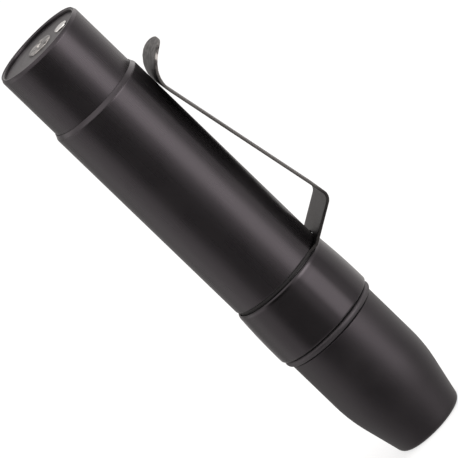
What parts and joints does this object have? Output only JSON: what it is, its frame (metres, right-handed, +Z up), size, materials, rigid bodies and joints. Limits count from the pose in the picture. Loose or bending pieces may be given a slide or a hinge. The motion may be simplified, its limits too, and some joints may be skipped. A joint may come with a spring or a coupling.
{
  "type": "drawing tube",
  "caption": "Small telescopic drawing tube: a draw tube slides from a barrel with a spring steel belt clip, and a threaded collar frees the tapered base to open it.",
  "frame": {"origin": "centre of the flat end of the base, on the tube's axis", "axes": "+Z up the tube towards the head, +X towards the clip"},
  "size_m": [0.0623, 0.0484, 0.23],
  "materials": {
    "soft_black": "matte moulded plastic",
    "hard_black": "smooth hard plastic",
    "seal_rubber": "satin rubber",
    "spring_steel": "blackened brushed spring steel",
    "felt": "pressed felt",
    "collar_black": "glossy black anodised",
    "tube_black": "satin black anodised",
    "ferrule_metal": "black anodised",
    "nylon": "natural nylon",
    "plug_gloss": "satin dark plastic",
    "nickel": "bright nickel plate"
  },
  "bodies": {
    "base": {"base_shell": "soft_black", "base_neck": "hard_black", "bead_ring": "seal_rubber", "snap_ring": "spring_steel", "neck_seal": "seal_rubber", "base_felt_pad": "felt"},
    "collar": {"collar": "collar_black", "slip_washer": "nylon"},
    "barrel": {"barrel": "tube_black", "mouth_ring": "collar_black", "ferrule": "ferrule_metal", "clip_ring": "spring_steel"},
    "clip": {"clip_arm": "spring_steel"},
    "draw": {"draw_tube": "tube_black", "guide_bush": "nylon", "grip_ring": "seal_rubber", "end_plug": "plug_gloss", "bezel_ring": "collar_black", "vent_eyelet": "nickel", "plug_rivet": "nickel", "plug_felt_pad": "felt"}
  },
  "joints": [
    {"name": "collar_turn", "type": "hinge", "parent": "base", "child": "collar", "pos_m": [0, 0, 0.0767], "axis": [0, 0, -1], "range_deg": [0, 450]},
    {"name": "barrel_lift", "type": "slide", "parent": "base", "child": "barrel", "axis": [0, 0, 1], "range_m": [0, 0.01]},
    {"name": "draw_out", "type": "slide", "parent": "barrel", "child": "draw", "axis": [0, 0, 1], "range_m": [0, 0.0855]},
    {"name": "clip_flex", "type": "hinge", "parent": "barrel", "child": "clip", "pos_m": [0.02, 0, 0.091], "axis": [0, 1, 0], "range_deg": [0, 8], "stiffness_Nm_per_rad": 4, "springref_deg": -2.86}
  ],
  "couplings": [
    {"joint": "collar_turn", "follows": "barrel_lift", "rad_per_m": 785.39}
  ]
}
